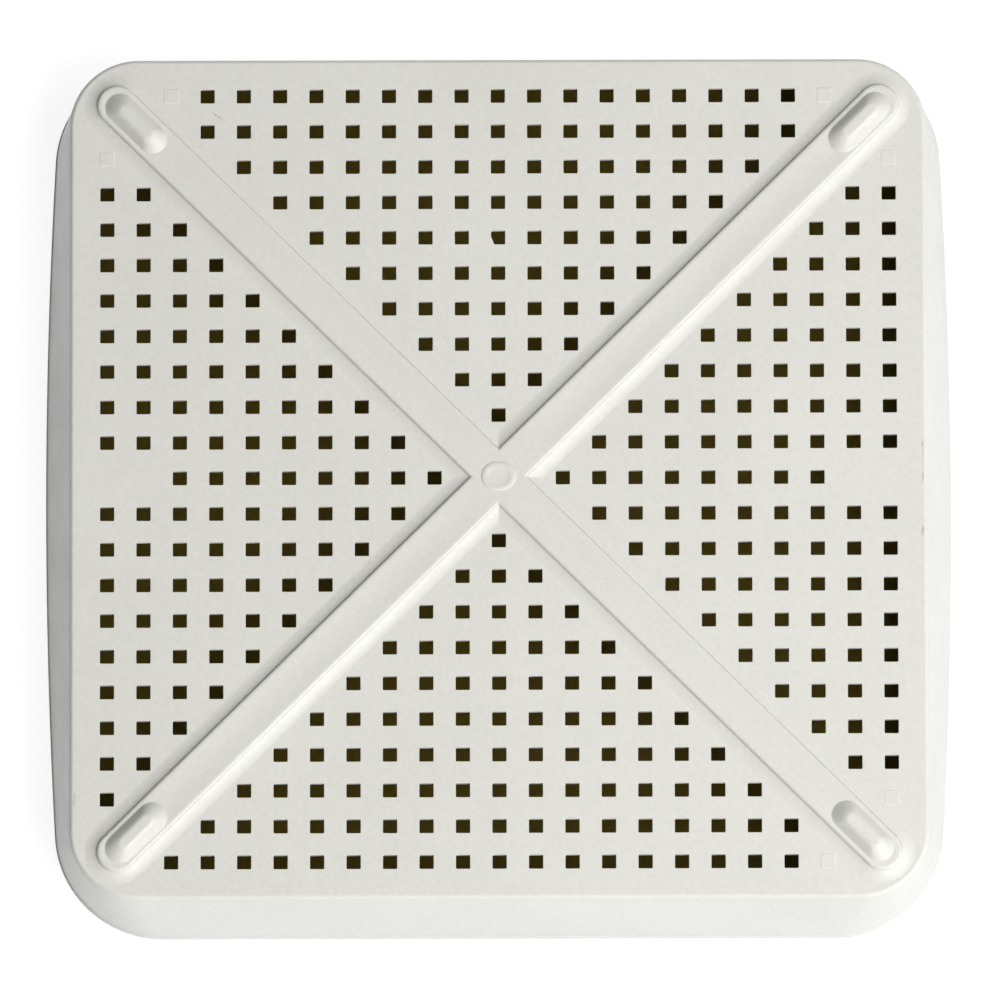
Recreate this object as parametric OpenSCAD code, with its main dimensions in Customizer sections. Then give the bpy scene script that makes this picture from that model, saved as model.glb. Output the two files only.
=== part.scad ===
// Square draining tray, one plastic moulding, standing on its rim with the perforated base uppermost.
// Frame: origin at the middle of the rim plane, +Z out through the base, +X right, -Y towards the front.
// Millimetres throughout.

/* [Tray] */
// Width of the base across its flats, measured to the sharp corner of base and wall
base_w = 188.4; // [184:0.2:190]
// Corner radius of the base, seen from above
base_corner_r = 15; // [12:0.5:18]
// Height from the rim to the outside of the base
tray_h = 23; // [18:0.5:60]
// Thickness of the base
base_t = 1.2; // [1:0.1:2]
// Thickness of the side walls
wall_t = 1.6; // [1.2:0.1:2.4]
// Radius that blends the base into the walls
shoulder_r = 1; // [0.4:0.1:1.5]

/* [Rim] */
// Width of the rim from front to back
rim_depth = 197.8; // [194:0.2:206]
// Width of the rim from left to right, across the middle of the bowed walls
rim_width = 199.8; // [198:0.2:208]
// Radius of the outward bow of the left and right walls at the rim
bow_r = 1420; // [1000:20:4000]
// Corner radius of the rim
rim_corner_r = 24; // [19:0.5:25]
// Height of the thickened edge along the rim
lip_h = 1.4; // [0.8:0.1:3]
// How far the thickened edge stands proud of the wall
lip_out = 0.35; // [0.2:0.05:0.6]

/* [Drain holes] */
// Distance between hole centres
hole_pitch = 8; // [7.6:0.1:8.2]
// Side of each square hole
hole_w = 3.1; // [2:0.1:4]
// Distance from the centre of the base to the first row of holes
first_row = 14.1; // [13.6:0.1:15]
// Rows of holes in each triangular field
rows = 10; // [4:1:10]

/* [Ribs] */
// Width of a rib at its foot
rib_foot_w = 9.4; // [8.8:0.1:10.4]
// Width of the flat top of a rib
rib_top_w = 8.4; // [7:0.1:8.6]
// Height of the ribs above the base
rib_h = 1.4; // [0.8:0.1:2]
// Distance along the diagonal from the centre to the round end of a rib
rib_reach = 118.6; // [114:0.2:120]

/* [Feet] */
// Distance along the diagonal from the centre to the inner round end of a foot
foot_inner = 107.8; // [100:0.2:108]
// Distance along the diagonal from the centre to the outer round end of a foot
foot_outer = 117.6; // [112:0.2:118]
// Radius of the round ends of a foot
foot_r = 2.8; // [2.4:0.1:3.6]
// Height of the feet above the ribs
foot_h = 2; // [1.4:0.1:4]
// Radius of the rounded top edge of a foot
foot_edge_r = 1.4; // [0.6:0.1:2]

/* [Centre] */
// Length of the plain oval button where the ribs cross
button_l = 7.6; // [7:0.2:9]
// Width of the oval button
button_w = 6.4; // [4:0.2:6.6]
// Height of the oval button above the ribs
button_h = 0.3; // [0.2:0.1:1]

/* [Hidden] */
// Outward lean of the walls from the vertical, just below the shoulder
draft = 12;
// Thickness of the slices that a wall is stretched over
slice = 0.01;
// Where the straight walls end and the corner pieces begin
seam = 74;
// Larger than the tray: the size of cutting shapes
reach = 150;
base_half = base_w / 2;
// Length of base that the shoulder takes up
shoulder_run = shoulder_r * tan((90 - draft) / 2);
plate_half = base_half - shoulder_run;
plate_corner_r = base_corner_r - shoulder_run;
rib_z = tray_h + rib_h;
// Last row of holes, and the half-number of holes along it
last = rows - 1;

// Blank places, [row, place along the row], in each field
front_blanks = [[last, last]];
right_blanks = [[last, last], [last, -last], [last, 0], [last - 1, 0]];
back_blanks = [[last, last], [last, -last]];
left_blanks = [[last, -last], [last, 0], [last - 1, 0]];

$fn = 96;

// ---- Outlines, seen from above ----

// A rectangle with round corners
module rounded_outline(half_x, half_y, corner_r) {
    square([2 * (half_x - corner_r), 2 * half_y], center = true);
    square([2 * half_x, 2 * (half_y - corner_r)], center = true);
    for (x = [-1, 1], y = [-1, 1])
        translate([x * (half_x - corner_r), y * (half_y - corner_r)])
            circle(r = corner_r);
}

// The same with its left and right sides bowed outwards, each corner arc tangent to the bow
module bowed_outline(half_x, half_y, corner_r) {
    corner_y = half_y - corner_r;
    corner_x = half_x - bow_r + sqrt(pow(bow_r - corner_r, 2) - pow(corner_y, 2));
    square([2 * corner_x, 2 * half_y], center = true);
    for (x = [-1, 1], y = [-1, 1])
        translate([x * corner_x, y * corner_y])
            circle(r = corner_r);
    for (x = [-1, 1])
        intersection() {
            translate([x * (half_x - bow_r), 0])
                circle(r = bow_r, $fn = 360);
            translate([x * reach / 2, 0])
                square([reach, 2 * corner_y], center = true);
        }
}

// ---- Side walls ----

// Thin slice of the shoulder, at an angle that runs from 0 on the base to the start of the wall
module shoulder_slice(angle) {
    out = shoulder_r * sin(angle);
    translate([0, 0, tray_h - shoulder_r * (1 - cos(angle)) - slice])
        linear_extrude(slice)
            intersection() {
                rounded_outline(plate_half + out, plate_half + out, plate_corner_r + out);
                children();
            }
}

// Thin slice at the rim, drawn in by inset, with its underside at z
module rim_slice(inset, z) {
    translate([0, 0, z])
        linear_extrude(slice)
            intersection() {
                bowed_outline(rim_width / 2 - inset, rim_depth / 2 - inset, rim_corner_r - inset);
                children();
            }
}

// Outside of the tray over the area given as a child
module outer_form() {
    hull() {
        for (step = [0:4])
            shoulder_slice((90 - draft) * step / 4)
                children();
        rim_slice(lip_out, 0)
            children();
    }
    linear_extrude(lip_h)
        intersection() {
            bowed_outline(rim_width / 2, rim_depth / 2, rim_corner_r);
            children();
        }
}

// Space inside the tray over the area given as a child
module inner_form() {
    top_half = base_half + base_t * tan(draft) - wall_t;
    hull() {
        translate([0, 0, tray_h - base_t - slice])
            linear_extrude(slice)
                intersection() {
                    rounded_outline(top_half, top_half, base_corner_r - wall_t);
                    children();
                }
        rim_slice(lip_out + wall_t, 0)
            children();
        rim_slice(lip_out + wall_t, -1)
            children();
    }
}

// Part of the wall that stands over the area from one corner to the other
module wall_segment(low, high) {
    color("ivory")
        difference() {
            outer_form()
                area(low, high);
            inner_form()
                area(low - [1, 1], high + [1, 1]);
            translate([0, 0, tray_h - base_t - slice])
                linear_extrude(reach)
                    rounded_outline(plate_half, plate_half, plate_corner_r);
        }
}

module area(low, high) {
    translate(low)
        square(high - low);
}

module straight_wall_front() {
    wall_segment([-seam, -reach], [seam, -seam]);
}

module bowed_wall_right() {
    wall_segment([seam, -seam], [reach, seam]);
}

module corner_back_right() {
    wall_segment([seam, seam], [reach, reach]);
}

// ---- Base ----

// Triangular field on the front side: row k has 2k + 1 places, less the blanks
module grille_field(blanks) {
    color("ivory")
        translate([0, 0, tray_h - base_t])
            linear_extrude(base_t)
                difference() {
                    intersection() {
                        rounded_outline(plate_half, plate_half, plate_corner_r);
                        polygon([[0, 0], [-reach, -reach], [reach, -reach]]);
                    }
                    for (k = [0:last], m = [-k:k])
                        if (len([for (b = blanks) if (b == [k, m]) b]) == 0)
                            translate([m * hole_pitch, -first_row - k * hole_pitch])
                                square(hole_w, center = true);
                }
}

// ---- Ribs, feet and button ----

// Half of a rib's section, from its middle outwards
module rib_section() {
    polygon([[0, 0], [rib_foot_w / 2, 0], [rib_top_w / 2, rib_h], [0, rib_h]]);
}

// Straight stretch of rib along +X, between two distances from the middle of the hub
module rib_bar(start, end) {
    translate([start, 0, tray_h])
        rotate([90, 0, 90])
            linear_extrude(end - start) {
                rib_section();
                mirror([1, 0]) rib_section();
            }
}

// Rib arm towards +X, outside the hub, with a round end
module rib_arm() {
    color("ivory") {
        rib_bar(rib_foot_w / 2, rib_reach);
        translate([rib_reach, 0, tray_h])
            rotate([0, 0, -90])
                rotate_extrude(angle = 180)
                    rib_section();
    }
}

// The square block where the two ribs cross
module hub_block() {
    translate([0, 0, tray_h + rib_h / 2])
        cube([rib_foot_w, rib_foot_w, 3 * rib_h], center = true);
}

module rib_hub() {
    color("ivory")
        intersection() {
            union()
                for (turn = [0:3])
                    rotate([0, 0, 45 + 90 * turn])
                        rib_bar(0, rib_foot_w);
            rotate([0, 0, 45])
                hub_block();
        }
}

// Half of a foot's section: upright below, quarter round above, flat on top
module foot_section() {
    square([foot_r - foot_edge_r, foot_h]);
    square([foot_r, foot_h - foot_edge_r]);
    intersection() {
        translate([foot_r - foot_edge_r, foot_h - foot_edge_r])
            circle(r = foot_edge_r);
        square([foot_r, foot_h]);
    }
}

// Foot on a rib towards +X
module foot() {
    color("white")
        translate([0, 0, rib_z]) {
            translate([foot_inner, 0, 0])
                rotate([90, 0, 90])
                    linear_extrude(foot_outer - foot_inner) {
                        foot_section();
                        mirror([1, 0]) foot_section();
                    }
            translate([foot_inner, 0, 0])
                rotate([0, 0, 90])
                    rotate_extrude(angle = 180)
                        foot_section();
            translate([foot_outer, 0, 0])
                rotate([0, 0, -90])
                    rotate_extrude(angle = 180)
                        foot_section();
        }
}

module centre_button() {
    end_x = (button_l - button_w) / 2;
    color("white")
        translate([0, 0, rib_z])
            linear_extrude(button_h) {
                square([2 * end_x, button_w], center = true);
                for (x = [-end_x, end_x])
                    translate([x, 0])
                        circle(d = button_w);
            }
}

grille_field(front_blanks);  // grille_front
rotate([0, 0, 90]) grille_field(right_blanks);  // grille_right
rotate([0, 0, 180]) grille_field(back_blanks);  // grille_back
rotate([0, 0, 270]) grille_field(left_blanks);  // grille_left
straight_wall_front();  // wall_front
bowed_wall_right();  // wall_right
mirror([0, 1, 0]) straight_wall_front();  // wall_back
mirror([1, 0, 0]) bowed_wall_right();  // wall_left
rotate([0, 0, 180]) corner_back_right();  // corner_front_left
mirror([0, 1, 0]) corner_back_right();  // corner_front_right
corner_back_right();
mirror([1, 0, 0]) corner_back_right();  // corner_back_left
rib_hub();
rotate([0, 0, 225]) rib_arm();  // rib_front_left
rotate([0, 0, 315]) rib_arm();  // rib_front_right
rotate([0, 0, 45]) rib_arm();  // rib_back_right
rotate([0, 0, 135]) rib_arm();  // rib_back_left
rotate([0, 0, 225]) foot();  // foot_front_left
rotate([0, 0, 315]) foot();  // foot_front_right
rotate([0, 0, 45]) foot();  // foot_back_right
rotate([0, 0, 135]) foot();  // foot_back_left
centre_button();
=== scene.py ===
"""A square draining tray, one off-white plastic moulding, lying on its rim under a studio camera.

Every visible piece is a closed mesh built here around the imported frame, in metres, in the row frame.
"""

import math

import bmesh
import bpy
import numpy as np
from mathutils import Matrix, Vector
from mathutils.geometry import delaunay_2d_cdt


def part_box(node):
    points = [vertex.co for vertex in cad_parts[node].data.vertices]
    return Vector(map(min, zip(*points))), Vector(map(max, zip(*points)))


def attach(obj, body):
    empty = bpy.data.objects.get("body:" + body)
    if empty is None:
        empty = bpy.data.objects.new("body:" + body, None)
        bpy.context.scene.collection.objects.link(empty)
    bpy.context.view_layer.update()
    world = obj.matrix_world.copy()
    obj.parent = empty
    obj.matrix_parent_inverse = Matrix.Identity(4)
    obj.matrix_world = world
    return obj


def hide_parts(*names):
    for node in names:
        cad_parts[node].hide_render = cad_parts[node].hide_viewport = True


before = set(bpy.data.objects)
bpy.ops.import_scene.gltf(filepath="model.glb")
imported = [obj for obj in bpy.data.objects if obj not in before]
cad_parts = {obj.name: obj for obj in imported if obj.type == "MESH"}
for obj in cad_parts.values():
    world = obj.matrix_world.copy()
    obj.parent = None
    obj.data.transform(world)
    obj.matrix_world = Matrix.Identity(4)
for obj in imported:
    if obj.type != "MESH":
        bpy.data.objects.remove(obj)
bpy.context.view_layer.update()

MM = 0.001

# ---- Sizes read from the frame ----

BASE_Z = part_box("grille_front")[1].z
BASE_T = BASE_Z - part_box("grille_front")[0].z
PLATE_HALF = -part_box("grille_front")[0].y
RIM_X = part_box("wall_right")[1].x
RIM_Y = -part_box("wall_front")[0].y
RIB_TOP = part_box("rib_hub")[1].z
RIB_H = RIB_TOP - BASE_Z
FOOT_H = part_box("foot_back_right")[1].z - RIB_TOP
BUTTON_L = 2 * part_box("centre_button")[1].x
BUTTON_W = 2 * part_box("centre_button")[1].y
BUTTON_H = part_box("centre_button")[1].z - RIB_TOP

# ---- Sizes that the boxes don't give, the same as in the design ----

BASE_CORNER_R = 15 * MM
RIM_CORNER_R = 24 * MM
BOW_R = 1420 * MM
WALL_T = 1.6 * MM
DRAFT = math.radians(12)
SHOULDER_R = 1 * MM
LIP_H = 1.4 * MM
LIP_OUT = 0.35 * MM
PITCH = 8 * MM
HOLE_W = 3.1 * MM
FIRST_ROW = 14.1 * MM
ROWS = 10
RIB_REACH = 118.6 * MM
FOOT_INNER = 107.8 * MM
FOOT_OUTER = 117.6 * MM
FOOT_R = 2.8 * MM
LAST = ROWS - 1
SHOULDER_RUN = math.tan((math.pi / 2 - DRAFT) / 2)
BASE_HALF = PLATE_HALF + SHOULDER_R * SHOULDER_RUN
BLANKS = {
    "grille_front": [(LAST, LAST)],
    "grille_right": [(LAST, LAST), (LAST, -LAST), (LAST, 0), (LAST - 1, 0)],
    "grille_back": [(LAST, LAST), (LAST, -LAST)],
    "grille_left": [(LAST, -LAST), (LAST, 0), (LAST - 1, 0)],
}
QUARTER_TURNS = {"grille_front": 0, "grille_right": 1, "grille_back": 2, "grille_left": 3}
DIAGONALS = {"front_left": 225, "front_right": 315, "back_right": 45, "back_left": 135}

# ---- Camera ----

CAMERA_ELEVATION = math.radians(77.98)
CAMERA_ROLL = math.radians(-0.14)
CAMERA_DISTANCE = 5.6
CAMERA_TARGET = Vector((0.29 * MM, -5.06 * MM, BASE_Z))
SENSOR = 36
FRAME_AT_TARGET = 219.838 * MM


def make_camera():
    """A long lens, nearly straight above, with the picture FRAME_AT_TARGET wide at the base."""
    forward = Vector((0, math.cos(CAMERA_ELEVATION), -math.sin(CAMERA_ELEVATION)))
    right = Vector((1, 0, 0))
    up = right.cross(forward)
    c, s = math.cos(CAMERA_ROLL), math.sin(CAMERA_ROLL)
    right, up = right * c + up * s, up * c - right * s
    data = bpy.data.cameras.new("camera")
    data.sensor_width = SENSOR
    data.lens = SENSOR * CAMERA_DISTANCE / FRAME_AT_TARGET
    data.clip_start = 0.1
    data.clip_end = 100
    camera = bpy.data.objects.new("camera", data)
    turn = Matrix((right, up, -forward)).transposed().to_4x4()
    camera.matrix_world = Matrix.Translation(CAMERA_TARGET - forward * CAMERA_DISTANCE) @ turn
    bpy.context.scene.collection.objects.link(camera)
    bpy.context.scene.camera = camera


# ---- Plastic ----

def add_node(tree, kind, inputs=(), **settings):
    """A shader node. An input that is a socket is linked, and any other is set."""
    node = tree.nodes.new(kind)
    for name, value in settings.items():
        setattr(node, name, value)
    for socket, value in dict(inputs).items():
        if isinstance(value, bpy.types.NodeSocket):
            tree.links.new(value, node.inputs[socket])
        else:
            node.inputs[socket].default_value = value
    return node


def maths(tree, operation, a, b=0.0):
    node = add_node(tree, "ShaderNodeMath", {0: a, 1: b}, operation=operation)
    return node.outputs[0]


def noise(tree, place, scale, detail=3.0, roughness=0.55):
    return add_node(
        tree, "ShaderNodeTexNoise",
        {"Vector": place, "Scale": scale, "Detail": detail, "Roughness": roughness},
    ).outputs["Fac"]


def remap(tree, value, low, high, to_low=0.0, to_high=1.0):
    return add_node(
        tree, "ShaderNodeMapRange",
        {"Value": value, "From Min": low, "From Max": high, "To Min": to_low, "To Max": to_high},
    ).outputs["Result"]


def mix_colours(tree, share, a, b, **settings):
    node = add_node(tree, "ShaderNodeMix", data_type="RGBA", **settings)
    for socket, value in ((0, share), (6, a), (7, b)):
        if isinstance(value, bpy.types.NodeSocket):
            tree.links.new(value, node.inputs[socket])
        else:
            node.inputs[socket].default_value = value
    return node.outputs[2]


def specks(tree, place, per_metre, radius, share):
    """Small round marks, one in each of a share of the cells of a grid of per_metre cells."""
    cells = add_node(
        tree, "ShaderNodeTexVoronoi", {"Vector": place, "Scale": per_metre, "Randomness": 1.0},
        feature="F1",
    )
    near = remap(tree, cells.outputs["Distance"], radius * per_metre * 0.6, radius * per_metre, 1.0, 0.0)
    picked = add_node(tree, "ShaderNodeSeparateColor", {0: cells.outputs["Color"]}).outputs[0]
    chosen = maths(tree, "LESS_THAN", picked, share)
    return maths(tree, "MULTIPLY", near, chosen)


def scuff(tree, place, x, y, angle, length, width):
    """A soft-ended streak on the base, centred at x, y."""
    local = add_node(
        tree, "ShaderNodeMapping",
        {"Vector": place, "Location": (x, y, 0), "Rotation": (0, 0, angle)}, vector_type="TEXTURE",
    ).outputs[0]
    parts = add_node(tree, "ShaderNodeSeparateXYZ", {0: local})
    along = maths(tree, "ABSOLUTE", parts.outputs[0])
    across = maths(tree, "ABSOLUTE", parts.outputs[1])
    ends = remap(tree, along, length * 0.2, length * 0.5, 1.0, 0.0)
    edges = remap(tree, across, width * 0.15, width * 0.5, 1.0, 0.0)
    return maths(tree, "MULTIPLY", ends, edges)


PLASTIC_LIGHT = (0.648, 0.648, 0.605, 1)
PLASTIC_DARK = (0.604, 0.603, 0.554, 1)
WALL_TINT = (1.0, 1.0, 1.03, 1)
MARK_COLOUR = (0.30, 0.285, 0.22, 1)
SCUFFS = (
    # x, y, angle, length, width in millimetres and degrees
    (-61.8, 81.6, -38, 3.4, 0.5),
    (93.3, 7.6, 90, 2.6, 0.5),
    (93.3, 4.6, 90, 6.0, 0.25),
    (93.3, 0.2, 90, 3.2, 0.55),
    (93.2, -12.2, 84, 2.8, 0.75),
    (-93.2, -72.0, 86, 4.0, 0.5),
)


def plastic():
    """Off-white plastic: cloudy and mottled, with specks, scuffs, uneven gloss and a fine grain."""
    material = bpy.data.materials.new("tray_plastic")
    material.use_nodes = True
    tree = material.node_tree
    shader = tree.nodes["Principled BSDF"]
    place = add_node(tree, "ShaderNodeTexCoord").outputs["Object"]

    cloud = noise(tree, place, 28, 4)
    mottle = noise(tree, place, 900, 3)
    shade = maths(tree, "ADD", maths(tree, "MULTIPLY", cloud, 0.4), maths(tree, "MULTIPLY", mottle, 0.6))
    colour = mix_colours(tree, remap(tree, shade, 0.36, 0.64), PLASTIC_DARK, PLASTIC_LIGHT)
    height = add_node(tree, "ShaderNodeSeparateXYZ", {0: place}).outputs[2]
    on_wall = remap(tree, height, BASE_Z - 0.4 * MM, BASE_Z - 2 * MM)
    colour = mix_colours(tree, on_wall, colour, WALL_TINT, blend_type="MULTIPLY")
    marks = specks(tree, place, 55, 0.16 * MM, 0.06)
    for x, y, angle, length, width in SCUFFS:
        streak = scuff(tree, place, x * MM, y * MM, math.radians(angle), length * MM, width * MM)
        marks = maths(tree, "MAXIMUM", marks, streak)
    broken = remap(tree, noise(tree, place, 1500, 2), 0.36, 0.56, 0.25, 1.0)
    marks = maths(tree, "MULTIPLY", marks, broken)
    colour = mix_colours(tree, maths(tree, "MULTIPLY", marks, 0.7), colour, MARK_COLOUR)
    tree.links.new(colour, shader.inputs["Base Color"])

    rough = remap(tree, noise(tree, place, 140, 4), 0.3, 0.7, 0.36, 0.50)
    tree.links.new(rough, shader.inputs["Roughness"])

    grain = noise(tree, place, 1800, 3)
    ripple = noise(tree, place, 70, 2)
    fine = add_node(tree, "ShaderNodeBump", {"Height": grain, "Strength": 1.0, "Distance": 0.01 * MM})
    bump = add_node(
        tree, "ShaderNodeBump",
        {"Height": ripple, "Strength": 1.0, "Distance": 0.05 * MM, "Normal": fine.outputs[0]},
    )
    tree.links.new(bump.outputs[0], shader.inputs["Normal"])
    shader.inputs["IOR"].default_value = 1.49
    return material


# ---- Mesh helpers ----

def make_piece(name, points, faces, material, nodes, normals=None, sharp=40):
    """A closed mesh that stands for the CAD nodes named.

    Vertex normals, when given, make the shading run on from one piece to the next.
    """
    mesh = bpy.data.meshes.new(name)
    mesh.from_pydata([tuple(p) for p in points], [], faces)
    if normals is None:
        work = bmesh.new()
        work.from_mesh(mesh)
        bmesh.ops.remove_doubles(work, verts=work.verts, dist=0.5e-6)
        bmesh.ops.dissolve_degenerate(work, edges=work.edges, dist=0.5e-6)
        bmesh.ops.recalc_face_normals(work, faces=work.faces)
        work.to_mesh(mesh)
        work.free()
    mesh.shade_smooth()
    mesh.materials.append(material)
    piece = bpy.data.objects.new(name, mesh)
    bpy.context.scene.collection.objects.link(piece)
    if normals is None:
        mesh.set_sharp_from_angle(angle=math.radians(sharp))
        level = piece.modifiers.new("level", "WEIGHTED_NORMAL")
        level.keep_sharp = True
    else:
        mesh.normals_split_custom_set_from_vertices([tuple(n) for n in normals])
    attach(piece, "root")
    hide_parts(*nodes)


def turned(points, angle):
    """Points turned about the Z axis."""
    c, s = math.cos(angle), math.sin(angle)
    return [(x * c - y * s, x * s + y * c, z) for x, y, z in points]


def quarter(start, end, steps):
    """Angles from start to end in degrees, both included."""
    return [math.radians(start + (end - start) * k / steps) for k in range(steps + 1)]


# ---- Perforated base ----

HOLE_ROUND = 0.22 * MM
HOLE_LIP = 0.07 * MM
HOLE_LIP_ANGLES = quarter(0, 90, 2)
HOLE_CORNER_ANGLES = quarter(0, 90, 4)
FLASH_HOLE = ("grille_back", 5, 0)
FLASH_WIDTH = 0.7 * MM
FLASH_LENGTH = 1.7 * MM
PLUG_HALF = 1.65 * MM
PLUG_EDGE = 0.14 * MM
PLUG_H = 0.06 * MM


def hole_ring(x, y, grow, flash=False):
    """Rounded square about x, y, larger than the hole by grow, with flash in one corner if asked."""
    inner = HOLE_W / 2 - HOLE_ROUND
    radius = HOLE_ROUND + grow
    ring = []
    for turn in range(4):
        for a in HOLE_CORNER_ANGLES:
            angle = a + turn * math.pi / 2
            cx = inner if turn in (0, 3) else -inner
            cy = inner if turn in (0, 1) else -inner
            dx, dy = cx + radius * math.cos(angle), cy + radius * math.sin(angle)
            if flash and turn == 0:
                share = a / (math.pi / 2)
                dx = HOLE_W / 2 + grow - FLASH_WIDTH * share
                dy = HOLE_W / 2 + grow - FLASH_LENGTH * (1 - share)
            ring.append((x + dx, y + dy))
    return ring


def field_outline():
    """The front field, from the centre to the middle of both corners of the base."""
    corner_r = BASE_CORNER_R - (BASE_HALF - PLATE_HALF)
    centre = PLATE_HALF - corner_r
    right = [
        (centre + corner_r * math.cos(a), -centre - corner_r * math.sin(a)) for a in quarter(45, 90, 12)
    ]
    left = [(-x, y) for x, y in right]
    return [(0.0, 0.0)] + left + list(reversed(right))


def square_ring(x, y, half):
    return [(x + sx * half, y + sy * half) for sx, sy in ((1, 1), (-1, 1), (-1, -1), (1, -1))]


class Plate:
    """Points of a flat plate, seen from above, with the loops that its triangles must follow."""

    def __init__(self):
        self.flat = []
        self.heights = []
        self.edges = []

    def loop(self, ring, z):
        first = len(self.flat)
        count = len(ring)
        self.flat += ring
        self.heights += [z] * count
        self.edges += [(first + i, first + (i + 1) % count) for i in range(count)]
        return list(range(first, first + count))

    def triangles(self, open_loops):
        """Triangles over everything inside the first loop, apart from those inside the open loops."""
        points = [Vector(p) for p in self.flat]
        _, _, found, origins, _, _ = delaunay_2d_cdt(points, self.edges, [], 1, 1e-8)
        owner = {i: n for n, ring in enumerate(open_loops) for i in ring}
        kept = [[origins[i][0] for i in t] for t in found]
        return [t for t in kept if len({owner.get(i, -1 - i) for i in t}) > 1]


def grille_piece(name, material):
    """One triangular field with its holes, built as the front field and then turned."""
    plate = Plate()
    outline = plate.loop(field_outline(), BASE_Z)
    levels = [
        (HOLE_LIP * (1 - math.sin(a)), BASE_Z - HOLE_LIP * (1 - math.cos(a))) for a in HOLE_LIP_ANGLES
    ]
    levels.append((0.0, BASE_Z - BASE_T))
    holes = []
    for k in range(ROWS):
        for m in range(-k, k + 1):
            x, y = m * PITCH, -FIRST_ROW - k * PITCH
            if (k, m) not in BLANKS[name]:
                flash = (name, k, m) == FLASH_HOLE
                ring = plate.loop(hole_ring(x, y, levels[0][0], flash), BASE_Z)
                holes.append((x, y, flash, ring))
            elif m != 0:
                plate.loop(square_ring(x, y, PLUG_HALF), BASE_Z)
                plate.loop(square_ring(x, y, PLUG_HALF - PLUG_EDGE), BASE_Z + PLUG_H)
    tris = plate.triangles([ring for _, _, _, ring in holes])

    points = [(x, y, z) for (x, y), z in zip(plate.flat, plate.heights)]
    under = {}
    for i, (x, y) in enumerate(plate.flat):
        under[i] = len(points)
        points.append((x, y, BASE_Z - BASE_T))
    faces = [tuple(t) for t in tris]
    for x, y, flash, ring in holes:
        above = ring
        for grow, z in levels[1:]:
            first = len(points)
            points += [(px, py, z) for px, py in hole_ring(x, y, grow, flash)]
            below = list(range(first, first + len(ring)))
            for i in range(len(ring)):
                j = (i + 1) % len(ring)
                faces.append((above[i], above[j], below[j], below[i]))
            above = below
        under.update(zip(ring, above))
    faces += [tuple(under[i] for i in reversed(t)) for t in tris]
    for i in outline:
        j = outline[(i + 1) % len(outline)]
        faces.append((i, under[i], under[j], j))
    used = sorted({i for face in faces for i in face})
    place = {old: new for new, old in enumerate(used)}
    points = turned([points[i] for i in used], QUARTER_TURNS[name] * math.pi / 2)
    faces = [tuple(place[i] for i in face) for face in faces]
    make_piece(name, points, faces, material, [name], sharp=20)


# ---- Walls and corners ----

CORNER_STEPS = 24
STRAIGHT_STEPS = 16
BOW_STEPS = 40
BASE_CENTRE = BASE_HALF - BASE_CORNER_R
RIM_CENTRE_Y = RIM_Y - RIM_CORNER_R
BOW_HALF_ANGLE = math.asin(RIM_CENTRE_Y / (BOW_R - RIM_CORNER_R))
RIM_CENTRE_X = RIM_X - BOW_R + (BOW_R - RIM_CORNER_R) * math.cos(BOW_HALF_ANGLE)
INNER_FILLET = 1.2 * MM
EDGE_ROUND = 0.2 * MM
LIP_DIP = 0.03 * MM


def right_station(t):
    """Place and outward direction at the base and the rim, along the right wall, t from -1 to 1."""
    a = BOW_HALF_ANGLE * t
    base = ((BASE_HALF, BASE_CENTRE * t), (1.0, 0.0))
    rim = ((RIM_X - BOW_R + BOW_R * math.cos(a), BOW_R * math.sin(a)), (math.cos(a), math.sin(a)))
    return base, rim


def corner_station(t):
    """The same round the back right corner, t from 0 at the right wall to 1 at the back wall."""
    a = math.pi / 2 * t
    b = BOW_HALF_ANGLE + (math.pi / 2 - BOW_HALF_ANGLE) * t
    base = (
        (BASE_CENTRE + BASE_CORNER_R * math.cos(a), BASE_CENTRE + BASE_CORNER_R * math.sin(a)),
        (math.cos(a), math.sin(a)),
    )
    rim = (
        (RIM_CENTRE_X + RIM_CORNER_R * math.cos(b), RIM_CENTRE_Y + RIM_CORNER_R * math.sin(b)),
        (math.cos(b), math.sin(b)),
    )
    return base, rim


def back_station(t):
    """The same along the straight back wall, t from -1 at the right to 1 at the left."""
    return ((-BASE_CENTRE * t, BASE_HALF), (0.0, 1.0)), ((-RIM_CENTRE_X * t, RIM_Y), (0.0, 1.0))


def mirrored(station, sx, sy):
    return tuple(tuple((x * sx, y * sy) for x, y in pair) for pair in station)


def wall_sections():
    """Every stretch of wall, anticlockwise from the right wall, as a name and its stations."""
    bow = [2 * k / BOW_STEPS - 1 for k in range(BOW_STEPS + 1)]
    straight = [2 * k / STRAIGHT_STEPS - 1 for k in range(STRAIGHT_STEPS + 1)]
    round_ = [k / CORNER_STEPS for k in range(CORNER_STEPS + 1)]
    return [
        ("wall_right", [right_station(t) for t in bow]),
        ("corner_back_right", [corner_station(t) for t in round_]),
        ("wall_back", [back_station(t) for t in straight]),
        ("corner_back_left", [mirrored(corner_station(1 - t), -1, 1) for t in round_]),
        ("wall_left", [mirrored(right_station(-t), -1, 1) for t in bow]),
        ("corner_front_left", [mirrored(corner_station(t), -1, -1) for t in round_]),
        ("wall_front", [mirrored(back_station(t), -1, -1) for t in straight]),
        ("corner_front_right", [mirrored(corner_station(1 - t), 1, -1) for t in round_]),
    ]


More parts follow.
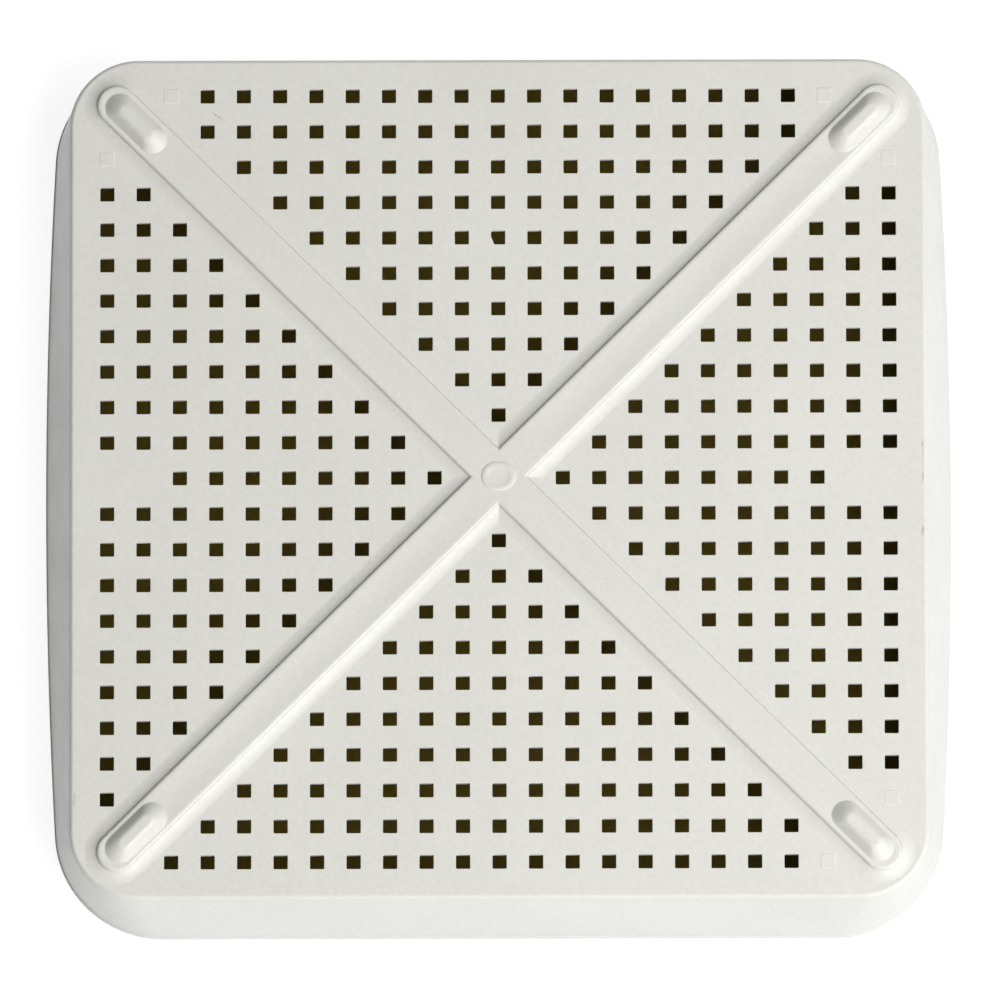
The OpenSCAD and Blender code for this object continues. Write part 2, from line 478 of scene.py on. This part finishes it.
def wall_rows(station):
    """The closed section of the wall at a station: from the base outwards, down, in and up."""
    (base, out_b), (rim, out_r) = station

    def at_base(inset, z):
        return np.array((base[0] - out_b[0] * inset, base[1] - out_b[1] * inset, z))

    def at_rim(inset, z):
        return np.array((rim[0] - out_r[0] * inset, rim[1] - out_r[1] * inset, z))

    run = BASE_HALF - PLATE_HALF
    rows = [
        at_base(run - SHOULDER_R * math.sin(a), BASE_Z - SHOULDER_R * (1 - math.cos(a)))
        for a in quarter(0, 90 - math.degrees(DRAFT), 8)
    ]
    top, foot = rows[-1], at_rim(LIP_OUT, LIP_H + EDGE_ROUND)
    rows += [top + (foot - top) * share for share in (0.08, 0.25, 0.45, 0.65, 0.85, 0.97, 1.0)]
    rows += [
        at_rim(LIP_OUT - 0.1 * MM, LIP_H + 0.02 * MM),
        at_rim(0.12 * MM, LIP_H - LIP_DIP),
    ]
    rows += [
        at_rim(EDGE_ROUND * (1 - math.sin(a)) * 0.6, LIP_H - LIP_DIP - EDGE_ROUND * (1 - math.cos(a)))
        for a in quarter(30, 90, 2)
    ]
    rows += [
        at_rim(EDGE_ROUND * (1 - math.cos(a)), EDGE_ROUND * (1 - math.sin(a))) for a in quarter(0, 90, 3)
    ]
    inside = LIP_OUT + WALL_T
    rows += [
        at_rim(inside - EDGE_ROUND * (1 - math.sin(a)), EDGE_ROUND * (1 - math.cos(a)))
        for a in quarter(0, 90, 3)
    ]
    ceiling = BASE_Z - BASE_T
    inset_top = WALL_T - BASE_T * math.tan(DRAFT)
    low, high = rows[-1], at_base(inset_top - INNER_FILLET * math.tan(DRAFT), ceiling - INNER_FILLET)
    rows += [low + (high - low) * share for share in (0.2, 0.5, 0.8, 1.0)]
    rows += [
        at_base(inset_top + INNER_FILLET * (1 - math.cos(a)), ceiling - INNER_FILLET * (1 - math.sin(a)))
        for a in quarter(22.5, 90, 3)
    ]
    rows.append(at_base(run, ceiling))
    return rows


def wall_pieces(material):
    """Every wall and corner, from one grid of points that runs right round the tray."""
    sections = wall_sections()
    columns = [wall_rows(s) for _, stations in sections for s in stations[:-1]]
    grid = np.array(columns)
    count, depth = grid.shape[:2]

    # Smooth normals round the whole ring, so that neighbouring pieces shade as one surface
    corners = [grid, np.roll(grid, -1, 0), np.roll(np.roll(grid, -1, 0), -1, 1), np.roll(grid, -1, 1)]
    face_normals = np.cross(corners[2] - corners[0], corners[3] - corners[1])
    normals = face_normals + np.roll(face_normals, 1, 0)
    normals = -(normals + np.roll(normals, 1, 1))
    normals /= np.linalg.norm(normals, axis=2, keepdims=True)
    normals[:, 0] = (0, 0, 1)
    normals[:, depth - 2] = (0, 0, -1)

    start = 0
    for name, stations in sections:
        steps = len(stations) - 1
        picked = [(start + i) % count for i in range(steps + 1)]
        points = grid[picked].reshape(-1, 3)
        piece_normals = normals[picked].reshape(-1, 3)
        faces = []
        for i in range(steps):
            for j in range(depth):
                k = (j + 1) % depth
                faces.append((i * depth + j, i * depth + k, (i + 1) * depth + k, (i + 1) * depth + j))
        faces.append(tuple(reversed(range(depth))))
        faces.append(tuple(range(steps * depth, (steps + 1) * depth)))
        make_piece(name, points, faces, material, [name], piece_normals)
        start += steps


# ---- Ribs ----

RIB_DISH = 0.13 * MM
RIB_DISH_START = 10 * MM
RIB_FLAT = 3.4 * MM
RIB_EDGE = 4.35 * MM
RIB_EDGE_DROP = 0.18
RIB_EDGE_POWER = 4
RIB_EDGE_STEPS = 6
RIB_CORNER = 4.6 * MM
COVE_SHARE = 0.45
COVE_POWER = 1.8
COVE_STEPS = 12
RIB_COVE_END = 7.6 * MM
RIB_TOP_STEPS = 6
RIB_RUN_STEPS = 24
RIB_END_STEPS = 24
SINK = 0.02 * MM


def rib_section():
    """Half of a rib's section from its middle outwards, as distance and height over the base.

    The flat top rounds over to a short steep side, which runs out into the base in a wide cove.
    """
    side = []
    for k in range(RIB_EDGE_STEPS + 1):
        step = k / RIB_EDGE_STEPS
        side.append((RIB_FLAT + (RIB_EDGE - RIB_FLAT) * step, 1 - RIB_EDGE_DROP * step ** RIB_EDGE_POWER))
    for k in range(COVE_STEPS + 1):
        step = k / COVE_STEPS
        distance = RIB_CORNER + (RIB_COVE_END - RIB_CORNER) * step
        side.append((distance, COVE_SHARE * (1 - step) ** COVE_POWER))
    section = [(RIB_FLAT * k / RIB_TOP_STEPS, RIB_H) for k in range(RIB_TOP_STEPS)]
    return section + [(distance, share * RIB_H - SINK * (1 - share)) for distance, share in side]


def smooth_step(value, low, high):
    """0 up to low and 1 from high, with a soft curve between."""
    share = min(1.0, max(0.0, (value - low) / (high - low)))
    return share * share * (3 - 2 * share)


def rib_arm_piece(name, angle, material):
    """From the edge of the hub to the round end, as a stack of U-shaped outlines. The top is dished."""
    section = rib_section()
    start = RIB_COVE_END
    stations = [start + (RIB_REACH - start) * k / RIB_RUN_STEPS for k in range(RIB_RUN_STEPS + 1)]
    loops = []
    for distance, height in section:
        share = max(0.0, 1 - (distance / RIB_FLAT) ** 2)

        def top(run):
            return BASE_Z + height - RIB_DISH * share * smooth_step(run, start, start + RIB_DISH_START)

        loop = [(run, distance, top(run)) for run in stations]
        loop += [
            (RIB_REACH + distance * math.sin(a), distance * math.cos(a), top(RIB_REACH))
            for a in quarter(0, 180, RIB_END_STEPS)[1:-1]
        ]
        loop += [(run, -distance, top(run)) for run in reversed(stations)]
        loops.append(loop)
    width = len(loops[0])
    points = [p for loop in loops for p in loop]
    faces = []
    last = len(loops) - 1
    for k in range(last):
        low, high = k * width, (k + 1) * width
        faces += [(low + i, low + i + 1, high + i + 1, high + i) for i in range(width - 1)]
    faces.append(tuple(last * width + i for i in range(width)))
    ends = [k * width for k in range(last, -1, -1)] + [k * width + width - 1 for k in range(1, last + 1)]
    faces.append(tuple(ends))
    make_piece(name, turned(points, math.radians(angle)), faces, material, [name])


def rib_hub_piece(material):
    """Where the ribs cross: the higher of the two sections at each place, with creases on its edges."""
    section = rib_section()
    marks = [-d for d, _ in reversed(section[1:])] + [d for d, _ in section]
    heights = [h for _, h in reversed(section[1:])] + [h for _, h in section]
    n = len(marks)
    points = [
        (marks[i], marks[j], BASE_Z + max(heights[i], heights[j])) for i in range(n) for j in range(n)
    ]
    faces = []
    for i in range(n - 1):
        for j in range(n - 1):
            a, b, c, d = i * n + j, (i + 1) * n + j, (i + 1) * n + j + 1, i * n + j + 1
            if i == j:
                faces += [(a, b, c), (a, c, d)]
            elif i + j == n - 2:
                faces += [(a, b, d), (b, c, d)]
            else:
                faces.append((a, b, c, d))
    rim = [i * n for i in range(n)] + [(n - 1) * n + j for j in range(1, n)]
    rim += [i * n + n - 1 for i in range(n - 2, -1, -1)] + list(range(n - 2, 0, -1))
    floor = BASE_Z - SINK
    first = len(points)
    points += [(points[i][0], points[i][1], floor) for i in rim]
    for k in range(len(rim)):
        m = (k + 1) % len(rim)
        faces.append((rim[k], rim[m], first + m, first + k))
    faces.append(tuple(first + k for k in range(len(rim))))
    make_piece("rib_hub", turned(points, math.pi / 4), faces, material, ["rib_hub"])


# ---- Feet and button ----

def stadium(half_length, radius, z, steps=14):
    """Outline with round ends along the X axis, at height z."""
    points = []
    for end, start in ((half_length, -90), (-half_length, 90)):
        angles = quarter(start, start + 180, steps)
        points += [(end + radius * math.cos(a), radius * math.sin(a), z) for a in angles]
    return points


def stacked(levels):
    """A stack of such outlines from (half length, radius, height) levels, closed below and above."""
    loops = [stadium(*level) for level in levels]
    width = len(loops[0])
    points = [p for loop in loops for p in loop]
    faces = []
    top = (len(loops) - 1) * width
    for low in range(0, top, width):
        high = low + width
        for i in range(width):
            j = (i + 1) % width
            faces.append((low + i, low + j, high + j, high + i))
    faces.append(tuple(range(width)))
    half = width // 2
    for i in range(half - 1):
        faces.append((top + i, top + i + 1, top + width - 2 - i, top + width - 1 - i))
    return points, faces


FOOT_SPREAD = 0.6 * MM
FOOT_SIDE_RUN = 2.6 * MM
FOOT_END_RUN = 1.4 * MM
FOOT_END_POWER = 1.3
FOOT_LEAN = 0.75
FOOT_STEPS = 14


def foot_levels():
    """A soft fillet, sides that slope and round over to the top, and ends that slope further."""
    half_length = (FOOT_OUTER - FOOT_INNER) / 2
    levels = []
    for k in range(FOOT_STEPS + 1):
        step = k / FOOT_STEPS
        share = smooth_step(step ** FOOT_LEAN, 0, 1)
        shorter = FOOT_END_RUN * share ** FOOT_END_POWER
        radius = FOOT_R + FOOT_SPREAD - FOOT_SIDE_RUN * step
        levels.append((half_length - shorter, radius, RIB_TOP + FOOT_H * share - SINK * (1 - share)))
    flat_length, flat_radius, top = levels[-1]
    return levels + [(flat_length, flat_radius * share, top) for share in (0.6, 0.25)]


def foot_piece(name, angle, material):
    points, faces = stacked(foot_levels())
    middle = (FOOT_OUTER + FOOT_INNER) / 2
    points = [(x + middle, y, z) for x, y, z in points]
    make_piece(name, turned(points, math.radians(angle)), faces, material, [name])


BUTTON_EDGE = 0.8 * MM
BUTTON_SPREAD = 0.05 * MM


def button_piece(material):
    """A low oval with soft edges and a shallow plain dip in its middle."""
    half_length = (BUTTON_L - BUTTON_W) / 2
    radius = BUTTON_W / 2
    levels = [(half_length, radius + BUTTON_SPREAD, RIB_TOP - SINK)]
    levels += [
        (
            half_length,
            radius + BUTTON_SPREAD - BUTTON_EDGE * (1 - math.cos(a)),
            RIB_TOP + BUTTON_H * 0.7 * math.sin(a),
        )
        for a in quarter(0, 90, 6)
    ]
    levels += [
        (half_length, radius * share, RIB_TOP + BUTTON_H * height)
        for share, height in ((0.66, 0.67), (0.58, 0.5), (0.5, 0.38), (0.4, 0.33), (0.2, 0.3), (0.1, 0.3))
    ]
    points, faces = stacked(levels)
    make_piece("centre_button", points, faces, material, ["centre_button"])


# ---- Studio ----

def stage_plane(name, half_x, half_y, corner_r, z, colour, roughness, glow=0.0):
    """A flat patch of floor with round corners."""
    points = []
    for sx, sy, start in ((1, 1, 0), (-1, 1, 90), (-1, -1, 180), (1, -1, 270)):
        cx, cy = sx * (half_x - corner_r), sy * (half_y - corner_r)
        for a in quarter(start, start + 90, 12):
            points.append((cx + corner_r * math.cos(a), cy + corner_r * math.sin(a), z))
    mesh = bpy.data.meshes.new(name)
    mesh.from_pydata(points, [], [tuple(range(len(points)))])
    material = bpy.data.materials.new(name)
    material.use_nodes = True
    tree = material.node_tree
    shader = tree.nodes["Principled BSDF"]
    place = add_node(tree, "ShaderNodeTexCoord").outputs["Object"]
    lighter = tuple(min(1.0, c * 1.03) for c in colour[:3]) + (1,)
    tint = mix_colours(tree, noise(tree, place, 6, 3), colour, lighter)
    tree.links.new(tint, shader.inputs["Base Color"])
    shader.inputs["Roughness"].default_value = roughness
    shader.inputs["Emission Color"].default_value = (1, 1, 1, 1)
    shader.inputs["Emission Strength"].default_value = glow
    mesh.materials.append(material)
    plane = bpy.data.objects.new(name, mesh)
    bpy.context.scene.collection.objects.link(plane)


def soft_light(name, azimuth, elevation, distance, diameter, power):
    """A round soft light that points at the tray. Azimuth runs from the right towards the back."""
    data = bpy.data.lights.new(name, "AREA")
    data.shape = "DISK"
    data.size = diameter
    data.energy = power
    light = bpy.data.objects.new(name, data)
    a, e = math.radians(azimuth), math.radians(elevation)
    away = Vector((math.cos(a) * math.cos(e), math.sin(a) * math.cos(e), math.sin(e)))
    light.location = away * distance
    light.rotation_euler = away.to_track_quat("Z", "Y").to_euler()
    bpy.context.scene.collection.objects.link(light)


FLOOR_COLOUR = (0.25, 0.25, 0.25, 1)
FLOOR_GLOW = 0.86
# Brown of the surface the tray stands on, made darker than the floor as painted shade inside the tray
UNDER_TRAY_BROWN_AND_SHADE = (0.23, 0.165, 0.012, 1)
LIGHTS = (
    # name, azimuth, elevation, distance, diameter, power
    ("key", -45, 52, 1.5, 1.2, 21.8),
    ("right", 0, 52, 1.5, 1.2, 7.1),
    ("back_right", 45, 52, 1.5, 1.2, 3.1),
    ("low_front", -90, 12, 1.5, 0.6, 4.2),
    ("overhead", 0, 89.9, 1.6, 2.0, 3.7),
)


def make_studio():
    stage_plane("floor", 12, 12, 1, 0, FLOOR_COLOUR, 0.9, FLOOR_GLOW)
    # Patch seen only through the holes: the brown surface beneath, and painted shade, as it has none of
    # the floor's glow
    stage_plane("floor_under_tray_brown_and_painted_shade", RIM_X - 3 * MM, RIM_Y - 3 * MM, 21 * MM, 0.2 * MM, UNDER_TRAY_BROWN_AND_SHADE, 0.8)
    for light in LIGHTS:
        soft_light(*light)
    bpy.context.scene.view_settings.view_transform = "Standard"


# ---- Everything ----

def make_tray():
    material = plastic()
    for name in BLANKS:
        grille_piece(name, material)
    wall_pieces(material)
    rib_hub_piece(material)
    for corner, angle in DIAGONALS.items():
        rib_arm_piece("rib_" + corner, angle, material)
        foot_piece("foot_" + corner, angle, material)
    button_piece(material)


make_camera()
make_studio()
make_tray()
